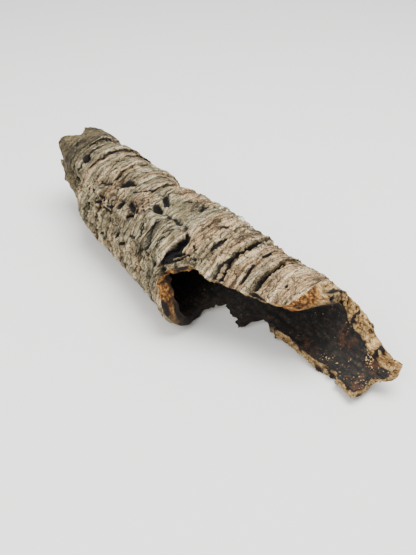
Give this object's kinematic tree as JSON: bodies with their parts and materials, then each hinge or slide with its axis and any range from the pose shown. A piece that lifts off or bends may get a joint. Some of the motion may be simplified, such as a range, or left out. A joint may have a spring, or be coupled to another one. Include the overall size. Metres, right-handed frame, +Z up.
{
  "type": "piece of bark",
  "caption": "Weathered cork bark tube, ridged and cracked outside, closed along one half and torn open into a gutter along the other.",
  "frame": {"origin": "middle of the base, on the surface that the bark lies on", "axes": "+X along the tube from the closed half to the torn open half, +Z up, -Y the side with the torn window"},
  "size_m": [0.4866, 0.1326, 0.1072],
  "materials": {
    "cork_bark": "matt, weathered and rough"
  },
  "bodies": {
    "root": {"bark": "cork_bark"}
  },
  "joints": []
}
